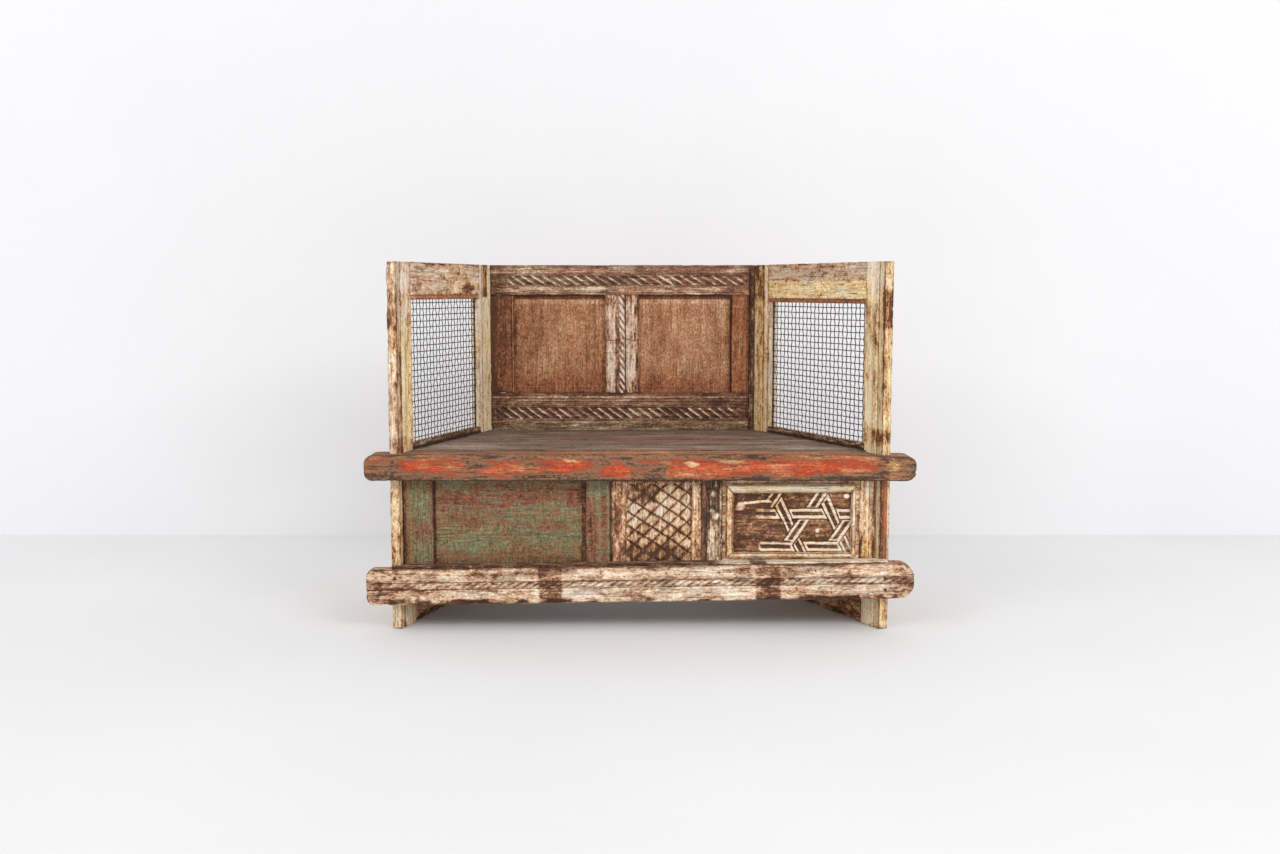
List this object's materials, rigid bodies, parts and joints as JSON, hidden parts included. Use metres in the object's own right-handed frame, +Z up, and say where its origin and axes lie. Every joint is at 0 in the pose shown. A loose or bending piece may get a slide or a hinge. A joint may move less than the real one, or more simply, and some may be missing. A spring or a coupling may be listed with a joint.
{
  "type": "persian takht",
  "caption": "Low wide wooden seat with a panelled back, splayed side frames filled with wire mesh, and a boarded, carved front between two long rails.",
  "frame": {"origin": "on the floor, under the centre of the bounding box", "axes": "+X along the seat to the sitter's left when seated, +Y from the front to the back, +Z up"},
  "size_m": [1.2584, 0.552, 0.847],
  "materials": {
    "cream_paint": "worn cream and ochre paint over brown wood",
    "red_paint": "worn orange-red paint",
    "pale_paint": "chalky cream paint with bare patches",
    "green_paint": "thin grey-green paint over reddish wood",
    "brown_wood": "old red-brown wood",
    "dark_wood": "dark weathered wood",
    "grey_wood": "bare grey-brown boards",
    "carved_wood": "carved wood with cream paint in patches",
    "iron_wire": "dark iron wire",
    "iron": "rusted iron"
  },
  "bodies": {
    "root": {"back_bottom_rail": "brown_wood", "back_left_panel": "brown_wood", "back_left_stile": "brown_wood", "back_muntin": "brown_wood", "back_right_panel": "brown_wood", "back_right_stile": "brown_wood", "back_top_rail": "brown_wood", "carved_board": "carved_wood", "carved_bottom_moulding": "carved_wood", "carved_left_moulding": "carved_wood", "carved_right_moulding": "carved_wood", "carved_top_moulding": "carved_wood", "dark_stile": "dark_wood", "end_stile": "cream_paint", "filler_strip": "dark_wood", "front_bottom_rail": "pale_paint", "front_ledge": "dark_wood", "green_left_stile": "green_paint", "green_panel": "green_paint", "green_right_stile": "green_paint", "joint_cover_strip": "dark_wood", "lattice_board": "carved_wood", "left_bottom_bead": "cream_paint", "left_front_bead": "cream_paint", "left_front_post": "cream_paint", "left_outer_beads": "cream_paint", "left_rear_bead": "cream_paint", "left_rear_post": "cream_paint", "left_seat_bearer": "grey_wood", "left_seat_cleat": "grey_wood", "left_side_board": "cream_paint", "left_top_bead": "brown_wood", "left_wing_sill": "cream_paint", "left_wing_top_rail": "cream_paint", "left_wire_mesh": "iron_wire", "middle_seat_bearer": "grey_wood", "rail_nails": "iron", "rear_bottom_rail": "brown_wood", "rear_seat_rail": "brown_wood", "right_bottom_bead": "cream_paint", "right_corner_batten": "dark_wood", "right_front_bead": "cream_paint", "right_front_post": "cream_paint", "right_outer_beads": "cream_paint", "right_rear_bead": "cream_paint", "right_rear_post": "cream_paint", "right_seat_bearer": "grey_wood", "right_seat_cleat": "grey_wood", "right_side_board": "cream_paint", "right_top_bead": "brown_wood", "right_wing_sill": "cream_paint", "right_wing_top_rail": "cream_paint", "right_wire_mesh": "iron_wire", "seat_board_1": "grey_wood", "seat_board_2": "grey_wood", "seat_board_3": "grey_wood", "seat_board_4": "grey_wood", "seat_front_rail": "red_paint"}
  },
  "joints": []
}
